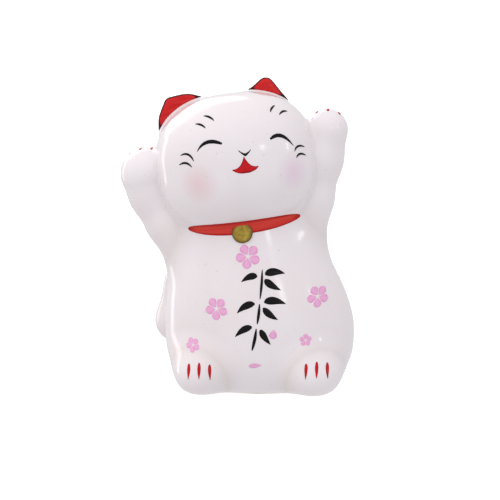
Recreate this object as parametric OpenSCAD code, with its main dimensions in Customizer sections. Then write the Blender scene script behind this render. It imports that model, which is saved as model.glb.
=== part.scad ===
// Beckoning cat figurine: a hollow glazed ceramic coin bank with both paws raised.
// Millimetres, +Z up, the cat faces -Y. The cat's own left is +X.
// The origin is the centre of the whole figure's box, on the table.

/* [Body] */
// Width of the body at its fullest
belly_w = 59.7; // [54:0.1:62]
// Height of the fullest part above the table
belly_z = 18; // [16:0.5:22]
// Width of the body where it meets the table
base_w = 42; // [40:0.1:50]
// Width that the body narrows towards, under the chin
neck_w = 39.6; // [38:0.1:44]
// Height at which the body would reach that width
neck_full_z = 63; // [60:1:68]
// Depth of the body as a share of its width
depth_share = 0.76; // [0.74:0.01:0.86]
// Sideways lean of the body above the belly, in degrees
body_lean = 9.4; // [4:0.1:10]
// Wall of the cast shell
wall = 3.2; // [2.6:0.1:3.6]
// Height at which the head is luted on
shoulder_z = 57; // [56:0.5:58]
// Opening between body and head, for the coins
neck_hole_d = 22; // [18:1:24]

/* [Head] */
// Half width, half depth and half height of the head
head_r = [25, 22, 21.5]; // [20:0.1:28]
// Middle of the head: sideways, backwards and up from the middle of the base
head_pos = [-7.3, -1, 70.9]; // [-10:0.1:75]
// Sideways tilt of the head, in degrees
head_roll = 8; // [0:1:14]
// Turn of the head to its own left, in degrees
head_yaw = 8; // [0:1:12]
// How squared-off the head is: 2 is a plain oval ball
head_square = 2.4; // [2:0.1:2.6]
// Coin slot in the back of the head: width, height and height above the head's middle
slot = [30, 3.2, 5]; // [2:0.1:32]

/* [Ears] */
// Left ear's root, sideways and up from the head's middle
ear_left_root = [11.1, 14.1]; // [10:0.1:16]
// Left ear's tip, sideways and up from the head's middle
ear_left_tip = [12.8, 21.8]; // [11:0.1:23]
// Left ear's radius at its root and at its tip
ear_left_r = [7.9, 2.5]; // [2:0.1:9]
// Right ear's root, sideways and up from the head's middle
ear_right_root = [13.2, 14]; // [10:0.1:16]
// Right ear's tip, sideways and up from the head's middle
ear_right_tip = [17.2, 20.2]; // [11:0.1:23]
// Right ear's radius at its root and at its tip
ear_right_r = [8.8, 2.3]; // [2:0.1:9]
// Thickness of an ear as a share of its width
ear_flat = 0.6; // [0.5:0.05:0.7]
// Distance of the ears behind the head's middle
ear_y = 5.5; // [4:0.5:7]
// Distance of an ear's flat front ahead of its own middle
ear_front = 1.1; // [0.6:0.1:1.6]
// Thickness of the red lining on that front
ear_lining_t = 0.5; // [0.3:0.1:0.8]

/* [Feet] */
// Middle of the left foot: sideways, backwards and up
foot_pos = [17.1, -13.6, 7]; // [-18:0.1:18]
// Half width, half depth and half height of a foot
foot_r = [8.6, 11, 8.2]; // [7:0.1:12]

/* [Base] */
// Thickness of the floor of the casting, with its foot ring
floor_t = 5; // [4.5:0.1:5.5]
// Depth of the recess inside the foot ring
recess_h = 1.8; // [1.4:0.1:2.2]
// Diameter of that recess
recess_d = 27; // [26:0.5:28]
// Diameter of the hole for the stopper
hole_d = 20; // [18:0.5:21]
// Gap between the stopper and its hole, on the radius
stopper_gap = 0.05; // [0.02:0.01:0.1]
// Diameter of the stopper's flange
flange_d = 24.6; // [23:0.1:25]
// Thickness of the stopper's flange
flange_t = 1.2; // [0.8:0.1:1.4]
// Height of the stopper's plug above the floor inside
plug_proud = 1.4; // [1:0.1:2]

/* [Enamel] */
// How far a painted mark is bedded in the glaze
mark_sink = 0.15; // [0.1:0.01:0.2]
// How far a painted mark stands proud of the glaze
mark_proud = 0.15; // [0.1:0.01:0.2]
// Width of the brow strokes
brow_w = 0.55; // [0.5:0.05:1]
// Width of the whisker strokes
whisker_w = 0.75; // [0.5:0.05:1.2]
// Width of the eye strokes
eye_w = 1.4; // [1:0.05:1.6]
// Width of the claw strokes
claw_w = 1.1; // [0.8:0.05:1.4]
// How far the collar stands proud
collar_proud = 0.5; // [0.3:0.1:0.8]
// Radius of the bell
bell_r = 3.2; // [2.8:0.1:3.6]
// Middle of the bell, sideways and up
bell_at = [-4.6, 50.9]; // [-6:0.1:52]

/* [Hidden] */
$fn = 64;
// Middle of the base, measured from the middle of the whole figure's box
place = [6.9, 1, 0];
// The higher, left arm from shoulder to paw: x, y, z and radius
arm_left_path = [[11, 1, 45.3, 7.4], [15.3, 0.5, 59.5, 7.4], [18.7, 0, 71.7, 6.8], [20.9, -0.5, 81, 6.5]];
// The lower, right arm from shoulder to paw
arm_right_path = [[-19.4, 1, 40.3, 7.6], [-28.1, 0.5, 51.9, 7.5], [-33.5, 0, 60.1, 7], [-35.4, -0.5, 67, 8.3]];
// The tail from the back round to the right flank
tail_path = [[-12, 17.6, 13, 4.5], [-20.5, 15, 14, 6.2], [-27, 10.5, 18.5, 6.6], [-27.3, 10, 31, 4]];
// Colours
glaze = "#f1ebec";
bisque = "#d9cfc2";
red = "#c4171f";
black = "#191313";
pink = "#e0559f";
gold = "#8a6d2c";
plug = "#e8e4da";
// Sides and ring spacing of the body shell
body_sides = 48;
body_step = 4;
// Sides of the head and ring rows from its middle to its top
head_sides = 48;
head_rows = 10;
// Softening of the bend where the lean begins
lean_soft = 8;
// How fully the body rounds under towards its base
under_power = 3;
// Thickness of the shoulder round the neck hole
shoulder_t = 3;
// Sides of a limb, and rings in each span of its path
limb_sides = 24;
limb_rings = 4;
// Rounding under the base's edge: how far it comes in, and its height
edge_round = 1;
edge_z = 2;
// Heights between which the arms' roots are cut back to the body's wall
core_z = 34;
core_top = 54;
// Ring rows of a foot
foot_rows = 14;
// Plane within the body's wall where the feet end: where it meets the table, its turn and its lean
foot_cut = [13.1, -11.3, 0];
foot_cut_turn = 34;
foot_cut_lean = 25;
// Blocks for cutting away everything on one side of a plane
far = 50;
// Inset and radius of the ear lining's lower corners, and radius of its tip
lining_inset = 2.6;
lining_corner_r = 1.6;
lining_tip_r = 1.2;
// Chamfers of the stopper's flange and of its plug
flange_ease = 0.4;
plug_ease = 0.8;
// Dish in the stopper's face: its depth and its distance from the rim
dish_h = 0.5;
dish_rim = 3;
// Points along a brush stroke
stroke_steps = 8;
// Collar: middle, half width, slope, sag and half height
collar_mid = [-4.4, 52.5];
collar_half_w = 17.5;
collar_rise = 2.1;
collar_sag = 0.8;
collar_half_h = 2.1;
collar_steps = 20;
// How flat the bell is, and how deep it is bedded
bell_flat = 0.55;
bell_sink = 0.6;
// Nose: middle, half width, height, and half thickness in the middle and lost at its tips
nose_mid = [1.5, 3.9];
nose_half_w = 1.95;
nose_h = 1.5;
nose_half_t = 0.5;
nose_taper = 0.36;
// Mouth: middle, half width, height of its peak and drop of its chin
mouth_mid = [1, 0];
mouth_half_w = 4.1;
mouth_peak = 3.7;
mouth_drop = 1.7;
// Spacing of the claw strokes, how far apart they end, and their length on a foot
claw_gap = 3.2;
claw_spread = 0.2;
claw_run = 4.9;
paw_claw_gap = 3.5;
paw_claw_end = 4.2;

// ---- The body's own form ----

function body_half_w(z) = z < belly_z
    ? belly_w/2 - (belly_w - base_w)/2 * pow(1 - z/belly_z, under_power)
    : neck_w/2 + (belly_w - neck_w)/2 * (1 + cos(180*(z - belly_z)/(neck_full_z - belly_z)))/2;

function body_x(z) = z < belly_z
    ? 0
    : -tan(body_lean) * (sqrt(pow(z - belly_z, 2) + pow(lean_soft, 2)) - lean_soft);

// Y of the front of the body at a place seen from the front
function body_front(x, z) = -depth_share * body_half_w(z)
    * sqrt(max(0, 1 - pow((x - body_x(z))/body_half_w(z), 2)));

// Y of the front of a foot, and of the head in the head's own frame
function foot_front(x, z) = foot_pos.y
    - foot_r.y * sqrt(max(0, 1 - pow((abs(x) - foot_pos.x)/foot_r.x, 2) - pow((z - foot_pos.z)/foot_r.z, 2)));
function head_front(x, z) = -head_r.y
    * pow(max(0, 1 - pow(abs(x)/head_r.x, head_square) - pow(abs(z)/head_r.z, head_square)), 1/head_square);

face = function(x, z) head_front(x, z);
skin = function(x, z) body_front(x, z);
toe = function(x, z) min(foot_front(x, z), body_front(x, z));

// ---- Tools ----

// Skin between rings of equally many points; closed = true joins the last ring to the first
module ring_skin(rings, closed) {
    n = len(rings[0]);
    rows = len(rings);
    last = closed ? rows - 1 : rows - 2;
    sides = [for (i = [0:last], j = [0:n-1])
        let (
            next = ((i + 1) % rows)*n,
            a = i*n + j,
            b = i*n + (j + 1) % n,
            c = next + (j + 1) % n,
            d = next + j)
        each [[a, b, c], [a, c, d]]];
    caps = closed ? [] : [[for (j = [n-1:-1:0]) j], [for (j = [0:n-1]) (rows - 1)*n + j]];
    polyhedron(points = [for (r = rings) each r], faces = concat(sides, caps), convexity = 8);
}

function ellipse_ring(rx, ry, x, z) = [for (j = [0:body_sides-1])
    let (a = -360*j/body_sides) [x + rx*cos(a), ry*sin(a), z]];

function unit(v) = v/norm(v);

// Point on the smooth curve between p[i] and p[i + 1]
function smooth_at(p, i, t) =
    let (a = p[max(i - 1, 0)], b = p[i], c = p[i + 1], d = p[min(i + 2, len(p) - 1)])
    0.5*(2*b + (c - a)*t + (2*a - 5*b + 4*c - d)*t*t + (3*b - a - 3*c + d)*t*t*t);

// Round limb along a path of [x, y, z, radius], cut flat at its start, rounded at its end
module limb(path) {
    spans = len(path) - 1;
    mid = [for (i = [0:spans-1], k = [0:limb_rings-1]) smooth_at(path, i, k/limb_rings)];
    tip = path[spans];
    nose_dir = unit(xyz(tip) - xyz(mid[len(mid) - 1]));
    dome = [for (a = [0:18:72]) concat(xyz(tip) + nose_dir*tip[3]*sin(a), [tip[3]*cos(a)])];
    beads = concat(mid, dome);
    n = len(beads);
    rings = [for (i = [0:n-1])
        let (
            d = i < n - len(dome) ? unit(xyz(beads[i + 1]) - xyz(beads[max(i - 1, 0)])) : nose_dir,
            u = unit(cross(d, [0, 1, 0])),
            v = cross(d, u))
        [for (j = [0:limb_sides-1])
            let (a = -360*j/limb_sides) xyz(beads[i]) + beads[i][3]*(cos(a)*u + sin(a)*v)]];
    ring_skin(rings, false);
}
function xyz(p) = [p.x, p.y, p.z];

// Thin slab on a surface: pairs are [one edge, other edge] across the mark, in x and z,
// and front gives the surface's y
module slab(pairs, front, proud = mark_proud) {
    rings = [for (p = pairs)
        let (a = p[0], b = p[1], ya = front(a.x, a.y), yb = front(b.x, b.y))
        [[a.x, ya - proud, a.y], [b.x, yb - proud, b.y],
            [b.x, yb + mark_sink, b.y], [a.x, ya + mark_sink, a.y]]];
    ring_skin(rings, false);
}

// Pairs across a curved stroke from a to c, pulled towards b; swell(t) gives the width at 0..1
function stroke_pairs(a, b, c, swell) = [for (i = [0:stroke_steps])
    let (
        t = i/stroke_steps,
        p = pow(1 - t, 2)*a + 2*t*(1 - t)*b + t*t*c,
        d = unit((1 - t)*(b - a) + t*(c - b)),
        half = swell(t)/2 * [-d.y, d.x])
    [p + half, p - half]];

// Widths along a stroke: a brush line, an eye, a pointed leaf or claw, and a petal
function brush(w) = function(t) w*(0.2 + 0.8*pow(sin(180*t), 0.8));
function lash(w) = function(t) w*max(0.15, pow(sin(160*pow(t, 1.4)), 0.8));
function leaf(w) = function(t) w*max(0.12, pow(sin(180*pow(t, 0.75)), 0.9));
function claw(w) = function(t) w*max(0.2, sin(20 + 155*pow(t, 0.8)));
function petal(w) = function(t) w*max(0.16, pow(sin(180*pow(0.04 + 0.93*t, 1.35)), 0.75));

module head_place() translate(head_pos) rotate([0, -head_roll, 0]) rotate([0, 0, head_yaw]) children();
module face_line(a, b, c, swell) slab(stroke_pairs(a, b, c, swell), face);

// ---- Cast ceramic sections ----

module torso_shell() color(glaze) {
    outer_z = [for (z = [floor_t:body_step:shoulder_z]) z];
    inner_z = [for (z = [shoulder_z - shoulder_t:-body_step:floor_t + 1]) z];
    neck_x = body_x(shoulder_z);
    outer = [for (z = outer_z)
        ellipse_ring(body_half_w(z), depth_share*body_half_w(z), body_x(z), z)];
    neck = [for (z = [shoulder_z, shoulder_z - shoulder_t])
        ellipse_ring(neck_hole_d/2, neck_hole_d/2, neck_x, z)];
    inner = [for (z = concat(inner_z, [floor_t]))
        ellipse_ring(body_half_w(z) - wall, depth_share*body_half_w(z) - wall, body_x(z), z)];
    ring_skin(concat(outer, neck, inner), true);
}

// Floor of the casting: the body's own oval with a rounded edge, a foot ring and the hole
module base_plate() color(bisque) difference() {
    ring_skin([for (z = [0, edge_z/3, edge_z, floor_t])
        let (r = body_half_w(z) - edge_round*pow(max(0, 1 - z/edge_z), 2))
        ellipse_ring(r, depth_share*r, 0, z)], false);
    translate([0, 0, -1]) cylinder(d = recess_d, h = 1 + recess_h);
    translate([0, 0, -1]) cylinder(d = hole_d, h = floor_t + 2);
}

// Squared-off ball: the head's outside, or its inside with grow = -wall
module head_form(grow = 0) ring_skin([for (i = [-head_rows:head_rows])
    let (
        r = head_r + [grow, grow, grow],
        up = 84*i/head_rows,
        level = pow(cos(up), 2/head_square))
    [for (j = [0:head_sides-1])
        let (a = -360*j/head_sides)
        [r.x*level*squared(cos(a)), r.y*level*squared(sin(a)), r.z*squared(sin(up))]]], false);
function squared(v) = sign(v) * pow(abs(v), 2/head_square);

// Plain oval ball within the head's wall, where the ears and arms end
module head_core(grow) scale(head_r + [grow, grow, grow]) sphere(1);

module head_shell() color(glaze) difference() {
    head_place() difference() {
        head_form();
        head_form(-wall);
        translate([-slot.x/2, 0, slot.z - slot.y/2]) cube([slot.x, far, slot.y]);
    }
    translate([-far, -far, shoulder_z - far]) cube([2*far, 2*far, far]);
}

// Rounded cone from a ball of radius r1 at the origin to one of radius r2 up the Z axis
module rounded_cone(r1, r2, length) {
    lean = asin((r1 - r2)/length);
    rotate_extrude() polygon(concat(
        [for (i = [0:8]) let (a = -90 + (lean + 90)*i/8) [r1*cos(a), r1*sin(a)]],
        [for (i = [0:6]) let (a = lean + (90 - lean)*i/6) [max(0, r2*cos(a)), length + r2*sin(a)]]));
}

module ear_form(root, tip, r) {
    run = tip - root;
    translate([root.x, ear_y, root.y]) scale([1, ear_flat, 1]) rotate([0, atan2(run.x, run.y), 0])
        rounded_cone(r[0], r[1], norm(run));
}

// An ear, flat at the front and bedded halfway into the head's wall
module ear(root, tip, r) difference() {
    ear_form(root, tip, r);
    head_core(-wall/3);
    translate([-far, ear_y - ear_front - far, -far]) cube([2*far, far, 2*far]);
}
module ear_left() color(glaze) head_place() ear(ear_left_root, ear_left_tip, ear_left_r);
module ear_right() color(glaze) head_place()
    mirror([1, 0, 0]) ear(ear_right_root, ear_right_tip, ear_right_r);

// The red plate on an ear's flat face, ending where the head begins
module ear_lining(root, tip, r) difference() {
    translate([0, ear_y - ear_front, 0]) rotate([90, 0, 0]) linear_extrude(ear_lining_t) hull() {
        for (dx = [-1, 1]) translate(root + [dx*(r[0] - lining_inset), 1]) circle(lining_corner_r);
        translate(tip) circle(lining_tip_r);
    }
    head_core(0);
}
module ear_lining_left() color(red) head_place() ear_lining(ear_left_root, ear_left_tip, ear_left_r);
module ear_lining_right() color(red) head_place()
    mirror([1, 0, 0]) ear_lining(ear_right_root, ear_right_tip, ear_right_r);

// Leaning oval cone inside the upper body's wall, where the arms end
module body_core() translate([body_x(core_z), 0, core_z]) rotate([0, -body_lean, 0])
    scale([1, depth_share, 1])
        cylinder(r1 = body_half_w(core_z) - wall/2, r2 = body_half_w(core_top) - wall/2, h = core_top - core_z);

module arm(path) color(glaze) difference() {
    limb(path);
    head_place() head_core(-wall/3);
    body_core();
}

// A foot, flat on the table and cut off flat within the body's wall
module foot(side) color(glaze) mirror([side < 0 ? 1 : 0, 0, 0]) difference() {
    lowest = -asin(foot_pos.z/foot_r.z);
    translate(foot_pos) ring_skin([for (i = [0:foot_rows])
        let (up = lowest + (86 - lowest)*i/foot_rows)
        ellipse_ring(foot_r.x*cos(up), foot_r.y*cos(up), 0, foot_r.z*sin(up))], false);
    translate(foot_cut) rotate([foot_cut_lean, 0, foot_cut_turn]) translate([-far, 0, -far])
        cube([2*far, far, 2*far]);
}

module tail() color(glaze) difference() {
    limb(tail_path);
    scale([1, depth_share, 1]) cylinder(r = belly_w/2 - wall/2, h = far);
}

// ---- Base ----

module base_stopper() color(plug) {
    face_z = recess_h - flange_t;
    plug_r = hole_d/2 - stopper_gap;
    top_z = floor_t + plug_proud;
    rotate_extrude() polygon([
        [0, face_z + dish_h], [flange_d/2 - dish_rim - 1, face_z + dish_h],
        [flange_d/2 - dish_rim, face_z], [flange_d/2 - flange_ease, face_z],
        [flange_d/2, face_z + flange_ease], [flange_d/2, recess_h],
        [plug_r, recess_h], [plug_r, top_z - plug_ease], [plug_r - plug_ease, top_z], [0, top_z]]);
}

// ---- Collar and bell ----

module collar() color(red) slab([for (i = [0:collar_steps])
    let (
        t = -1 + 2*i/collar_steps,
        x = collar_mid.x + collar_half_w*t,
        z = collar_mid.y + collar_rise*t + collar_sag*t*t,
        half = collar_half_h*sqrt(max(0.01, 1 - pow(abs(t), 2.6))))
    [[x, z + half], [x, z - half]]], skin, collar_proud);

module bell() color(gold)
    translate([bell_at.x, body_front(bell_at.x, bell_at.y) - bell_sink, bell_at.y])
        scale([1, bell_flat, 1]) sphere(bell_r);

// ---- Painted face, in the head's own frame ----

module eye_left() color(black) head_place() face_line([16.8, 3.8], [13.4, 9.9], [9.6, 7.2], lash(eye_w));
module eye_right() color(black) head_place() face_line([-12.6, 6.6], [-9.7, 10.9], [-4.7, 8], lash(eye_w));

module brows_left() color(black) head_place() {
    face_line([13.3, 16.6], [11.7, 16.2], [11.3, 14.9], brush(brow_w));
    face_line([16.8, 14.2], [15.1, 15], [13.8, 13.7], brush(brow_w));
}
module brows_right() color(black) head_place() {
    face_line([-8.9, 16.7], [-7, 16.6], [-6, 14.9], brush(brow_w));
    face_line([-11.8, 14.7], [-9.8, 14.7], [-8.9, 13.1], brush(brow_w));
}

module whiskers_left() color(black) head_place() {
    face_line([16.7, 2.3], [17.7, 4.7], [20.4, 2.9], brush(whisker_w));
    face_line([17, 0.3], [18.1, 2.2], [20.4, 0.3], brush(whisker_w));
}
module whiskers_right() color(black) head_place() {
    face_line([-17.7, 6], [-14.8, 7.4], [-13.9, 3.9], brush(whisker_w));
    face_line([-18.4, 3.2], [-16.1, 4.7], [-14.7, 2.2], brush(whisker_w));
}

// Small v with hollow arms
module nose() color(black) head_place() slab([for (i = [0:10])
    let (
        t = -1 + i/5,
        x = nose_mid.x + nose_half_w*t,
        z = nose_mid.y + nose_h*pow(abs(t), 1.4) - 0.15*t,
        half = nose_half_t - nose_taper*abs(t))
    [[x, z + half], [x, z - half]]], face);

// Open smile: peaked top with hollow shoulders, round chin
module mouth() color(red) head_place() slab([for (i = [0:12])
    let (
        t = -1 + i/6,
        x = mouth_mid.x + mouth_half_w*t,
        top = mouth_mid.y + mouth_peak*pow(1 - abs(t), 3),
        low = mouth_mid.y - mouth_drop*pow(1 - t*t, 0.8))
    [[x, top + 0.05], [x, low - 0.05]]], face);

// ---- Claw strokes ----

// Three strokes down the toes of a foot; the middle one starts at the given place
module foot_claws(mid_x, top_z) color(red) for (i = [-1:1])
    slab(stroke_pairs([mid_x + claw_gap*i, top_z - 0.5*abs(i)], [mid_x + claw_gap*i, top_z - claw_run/2],
        [mid_x + (claw_gap + claw_spread)*i, top_z - claw_run - 0.4*abs(i)], claw(claw_w)), toe);

// Three strokes over the top of a raised paw, whose ball is at p = [x, y, z, radius]; shift moves
// them sideways and starts gives the y at which each begins
module paw_claws(p, shift, starts) color(red) for (i = [-1:1])
    translate([p.x, p.y, p.z]) rotate([-90, 0, 0])
        slab(stroke_pairs([shift + paw_claw_gap*i, starts[i + 1]], [shift + paw_claw_gap*i, 1],
            [shift + paw_claw_gap*i, paw_claw_end], claw(claw_w)),
            function(x, y) -sqrt(max(0, p[3]*p[3] - x*x - y*y)));

// ---- Blossoms and ink ----

// Five-petalled blossom; turn points its first petal
module blossom(x, z, d, turn) color(pink) for (i = [0:4])
    let (a = turn + 72*i, dir = [cos(a), sin(a)])
    slab(stroke_pairs([x, z] + dir*0.07*d, [x, z] + dir*0.28*d, [x, z] + dir*0.5*d, petal(0.36*d)), skin);

module loose_petals() color(pink) {
    slab(stroke_pairs([5.2, 22], [5.1, 20.5], [4.9, 19.2], petal(2.6)), skin);
    slab(stroke_pairs([-2.4, 10.6], [-0.4, 10.9], [1.6, 11], leaf(1.6)), skin);
}

// Brushed bamboo sprig: [start, bend, end, width] of each leaf and twig
sprig_leaves = [
    [[2.4, 38.4], [4.6, 40], [8.6, 38.6], 2.6], [[2.4, 37.2], [3.6, 35.4], [7.4, 33.8], 2.4],
    [[0.2, 37.8], [-1.8, 38.8], [-4.8, 36.2], 2.3], [[2.2, 30.2], [4.8, 31.6], [9, 29.6], 2.6],
    [[-0.4, 29.8], [-3.4, 30], [-6, 26.8], 2.4], [[2, 28.8], [3.4, 26.6], [6.6, 25], 2.3],
    [[-1.2, 22.8], [-3.8, 22.8], [-6.6, 19.6], 2.3], [[1.2, 22.2], [2, 20], [4.4, 17.4], 2.2]];
sprig_twigs = [
    [[1.6, 40.2], [1.6, 35.4], [1, 31], 0.9], [[0.9, 30], [0.8, 26.6], [0.2, 23.6], 1],
    [[0, 22.6], [-0.4, 18.6], [-1.4, 15.4], 1.1]];

module ink_sprig() color(black) {
    for (s = sprig_leaves) slab(stroke_pairs(s[0], s[1], s[2], leaf(s[3])), skin);
    for (s = sprig_twigs) slab(stroke_pairs(s[0], s[1], s[2], brush(s[3])), skin);
}

// ---- Everything in its place ----

translate(place) {
    torso_shell();
    base_plate();
    base_stopper();
    head_shell();
    ear_left();
    ear_right();
    ear_lining_left();
    ear_lining_right();
    arm(arm_left_path);  // arm_left
    arm(arm_right_path);  // arm_right
    foot(1);  // foot_left
    foot(-1);  // foot_right
    tail();
    collar();
    bell();
    eye_left();
    eye_right();
    brows_left();
    brows_right();
    whiskers_left();
    whiskers_right();
    nose();
    mouth();
    foot_claws(18.4, 12.4);  // foot_claws_left
    foot_claws(-17.4, 11.8);  // foot_claws_right
    paw_claws(arm_left_path[3], 0.2, [-1.8, -2.6, -2]);  // paw_claws_left
    paw_claws(arm_right_path[3], -1.8, [-0.8, -2.6, -2.6]);  // paw_claws_right
    blossom(-2.8, 43.9, 7.6, 263);  // blossom_chest
    blossom(-12.3, 28, 7, 268);  // blossom_right
    blossom(18.5, 31.2, 6.6, 266);  // blossom_left
    blossom(-19.7, 16.4, 4.4, 266);  // blossom_small_right
    blossom(14.9, 18.5, 3.8, 90);  // blossom_small_left
    loose_petals();
    ink_sprig();
}
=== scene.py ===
import math

import bpy
import numpy as np
import openvdb
from mathutils import Matrix, Vector


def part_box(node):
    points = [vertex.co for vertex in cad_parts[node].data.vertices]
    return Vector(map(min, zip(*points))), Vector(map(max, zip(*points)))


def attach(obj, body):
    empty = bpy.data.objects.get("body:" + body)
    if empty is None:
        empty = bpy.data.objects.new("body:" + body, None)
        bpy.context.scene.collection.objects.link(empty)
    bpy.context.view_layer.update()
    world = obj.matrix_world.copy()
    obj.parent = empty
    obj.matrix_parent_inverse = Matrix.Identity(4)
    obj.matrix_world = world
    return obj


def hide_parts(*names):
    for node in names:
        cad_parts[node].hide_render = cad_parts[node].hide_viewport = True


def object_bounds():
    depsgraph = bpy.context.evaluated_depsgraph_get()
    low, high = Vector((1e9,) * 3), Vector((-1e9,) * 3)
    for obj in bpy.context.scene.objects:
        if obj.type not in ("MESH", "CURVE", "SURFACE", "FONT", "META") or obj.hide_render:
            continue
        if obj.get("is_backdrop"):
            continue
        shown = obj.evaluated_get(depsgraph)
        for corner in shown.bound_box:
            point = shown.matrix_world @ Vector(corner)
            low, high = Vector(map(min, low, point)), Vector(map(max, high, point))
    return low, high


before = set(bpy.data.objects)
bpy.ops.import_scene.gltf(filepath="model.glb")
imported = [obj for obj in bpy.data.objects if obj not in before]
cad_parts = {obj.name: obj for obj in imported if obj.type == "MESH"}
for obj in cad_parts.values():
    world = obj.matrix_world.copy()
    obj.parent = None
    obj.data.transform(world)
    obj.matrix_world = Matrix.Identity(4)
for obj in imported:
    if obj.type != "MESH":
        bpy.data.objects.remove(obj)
cad_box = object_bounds()

# Looks of the beckoning cat figurine. The glazed sections are cut out of one smooth solid
# field, so that their skins run on without a step, and the enamel is laid on that skin.
# Inside the functions lengths are millimetres in the figure's own axes: x to the cat's left,
# y to its back, z up, from the middle of its base. to_row() makes them metres in the row frame.

MM = 1000.0
STOPPER_LOW, STOPPER_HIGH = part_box("base_stopper")
BASE_MIDDLE = np.array([STOPPER_LOW.x + STOPPER_HIGH.x, STOPPER_LOW.y + STOPPER_HIGH.y, 0]) / 2 * MM

# ---- Sizes, as in the CAD source ----

BELLY_W, BELLY_Z, BASE_W = 59.7, 18, 42
NECK_W, NECK_FULL_Z = 39.6, 63
DEPTH_SHARE, UNDER_POWER = 0.76, 3
BODY_LEAN, LEAN_SOFT = math.radians(9.4), 8
BODY_TOP, BODY_TOP_ROUND = 58, 5
WALL, FLOOR_T = 3.2, 5
RECESS_R, RECESS_H, HOLE_R, HOLE_TOP = 13.5, 1.8, 10, 8
HEAD_R, HEAD_AT = np.array([25, 22, 21.5]), np.array([-7.3, -1, 70.9])
HEAD_SQUARE = 2.4
HEAD_ROLL = Matrix.Rotation(math.radians(-8), 3, "Y")
HEAD_YAW = Matrix.Rotation(math.radians(8), 3, "Z")
HEAD_TURN = np.array(HEAD_ROLL @ HEAD_YAW)
HEAD_FORWARD = -HEAD_TURN[:, 1]
SLOT_W, SLOT_H, SLOT_Z, SLOT_FROM_Y = 30, 3.2, 5, 8
# Each ear's root and tip ball: sideways, up and radius
EAR_LEFT = [(11.1, 14.1, 7.9), (12.8, 21.8, 2.5)]
EAR_RIGHT = [(13.2, 14, 8.8), (17.2, 20.2, 2.3)]
EAR_FLAT, EAR_Y, EAR_FRONT = 0.6, 5.5, 1.1
FOOT_AT, FOOT_R = np.array([17.1, -13.6, 7]), np.array([8.6, 11, 8.2])
# The limbs are chains of balls: x, y, z and radius
ARM_LEFT = [(11, 1, 45.3, 7.4), (15.3, 0.5, 59.5, 7.4), (18.7, 0, 71.7, 6.8), (20.9, -0.5, 81, 6.5)]
ARM_RIGHT = [
    (-19.4, 1, 40.3, 7.6), (-28.1, 0.5, 51.9, 7.5), (-33.5, 0, 60.1, 7), (-35.4, -0.5, 67, 8.3)]
TAIL = [(-12, 17.6, 13, 4.5), (-20.5, 15, 14, 6.2), (-27, 10.5, 18.5, 6.6), (-27.3, 10, 31, 4)]

# How softly the sections run into each other, as the slip and the glaze fill their joints
FOOT_BLEND, ARM_BLEND, ELBOW_BLEND, TAIL_BLEND = 7, 7, 3, 2
HEAD_BLEND, EAR_BLEND, BASE_ROUND, CUT_ROUND = 1.8, 1.6, 3, 0.6
EAR_ROUND, HOLLOW_BLEND, HOLLOW_ROUND = 0.9, 6, 1

# Grid step of the ceramic, and of the thin ear enamel
STEP = 0.6
FINE_STEP = 0.3
# How often a mesh is pulled onto its surface, and an enamel mark onto the skin
REFINE_STEPS, SETTLE_STEPS = 3, 70
# Neighbouring sections overlap by LAP under each other's skin, sinking at DIP
LAP, DIP = 0.8, 0.25
# Height of the bare foot ring, and how steeply its joint climbs inwards
BARE_H, BARE_CLIMB = 0.5, 1.2


def to_row(points):
    return (np.asarray(points) + BASE_MIDDLE) / MM


def to_figure(corner):
    return np.array(corner) * MM - BASE_MIDDLE


# ---- The solid field: negative inside the clay ----

def smooth_min(a, b, blend):
    share = np.clip(0.5 + 0.5 * (b - a) / blend, 0, 1)
    return b * (1 - share) + a * share - blend * share * (1 - share)


def smooth_max(a, b, blend):
    return -smooth_min(-a, -b, blend)


def oval(p, centre, radii):
    q = (p - centre) / radii
    size = np.linalg.norm(q, axis=1)
    return size * (size - 1) / np.maximum(np.linalg.norm(q / radii, axis=1), 1e-9)


def rounded_cone(p, start, end):
    """Distance to the skin over two balls, each (x, y, z, radius)."""
    a, b = np.array(start[:3], float), np.array(end[:3], float)
    axis, taper = b - a, start[3] - end[3]
    length2 = axis @ axis
    side2 = length2 - taper * taper
    along = (p - a) @ axis
    past = along - length2
    off2 = (((p - a) * length2 - along[:, None] * axis) ** 2).sum(1)
    edge = np.sign(taper) * taper * taper * off2
    at_end = np.sqrt(off2 + past * past * length2) / length2 - end[3]
    at_start = np.sqrt(off2 + along * along * length2) / length2 - start[3]
    between = (np.sqrt(off2 * side2 / length2) + along * taper) / length2 - start[3]
    before = np.sign(along) * side2 * along * along * length2 < edge
    after = np.sign(past) * side2 * past * past * length2 > edge
    return np.where(after, at_end, np.where(before, at_start, between))


def limb(p, path):
    spans = [rounded_cone(p, a, b) for a, b in zip(path[:-1], path[1:])]
    whole = spans[0]
    for span in spans[1:]:
        whole = smooth_min(whole, span, ELBOW_BLEND)
    return whole


def body_half_w(z):
    under = BELLY_W / 2 - (BELLY_W - BASE_W) / 2 * np.clip(1 - z / BELLY_Z, 0, None) ** UNDER_POWER
    rise = np.clip((z - BELLY_Z) / (NECK_FULL_Z - BELLY_Z), 0, 1)
    over = NECK_W / 2 + (BELLY_W - NECK_W) / 2 * (1 + np.cos(np.pi * rise)) / 2
    return np.where(z < BELLY_Z, under, over)


def body_x(z):
    rise = np.clip(z - BELLY_Z, 0, None)
    return -math.tan(BODY_LEAN) * (np.sqrt(rise ** 2 + LEAN_SOFT ** 2) - LEAN_SOFT)


def body(p):
    x, y, z = p.T
    half = body_half_w(z)
    ring = np.hypot((x - body_x(z)) / half, y / (DEPTH_SHARE * half))
    return smooth_max((ring - 1) * DEPTH_SHARE * half, z - BODY_TOP, BODY_TOP_ROUND)


def in_head(p):
    return (p - HEAD_AT) @ HEAD_TURN


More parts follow.
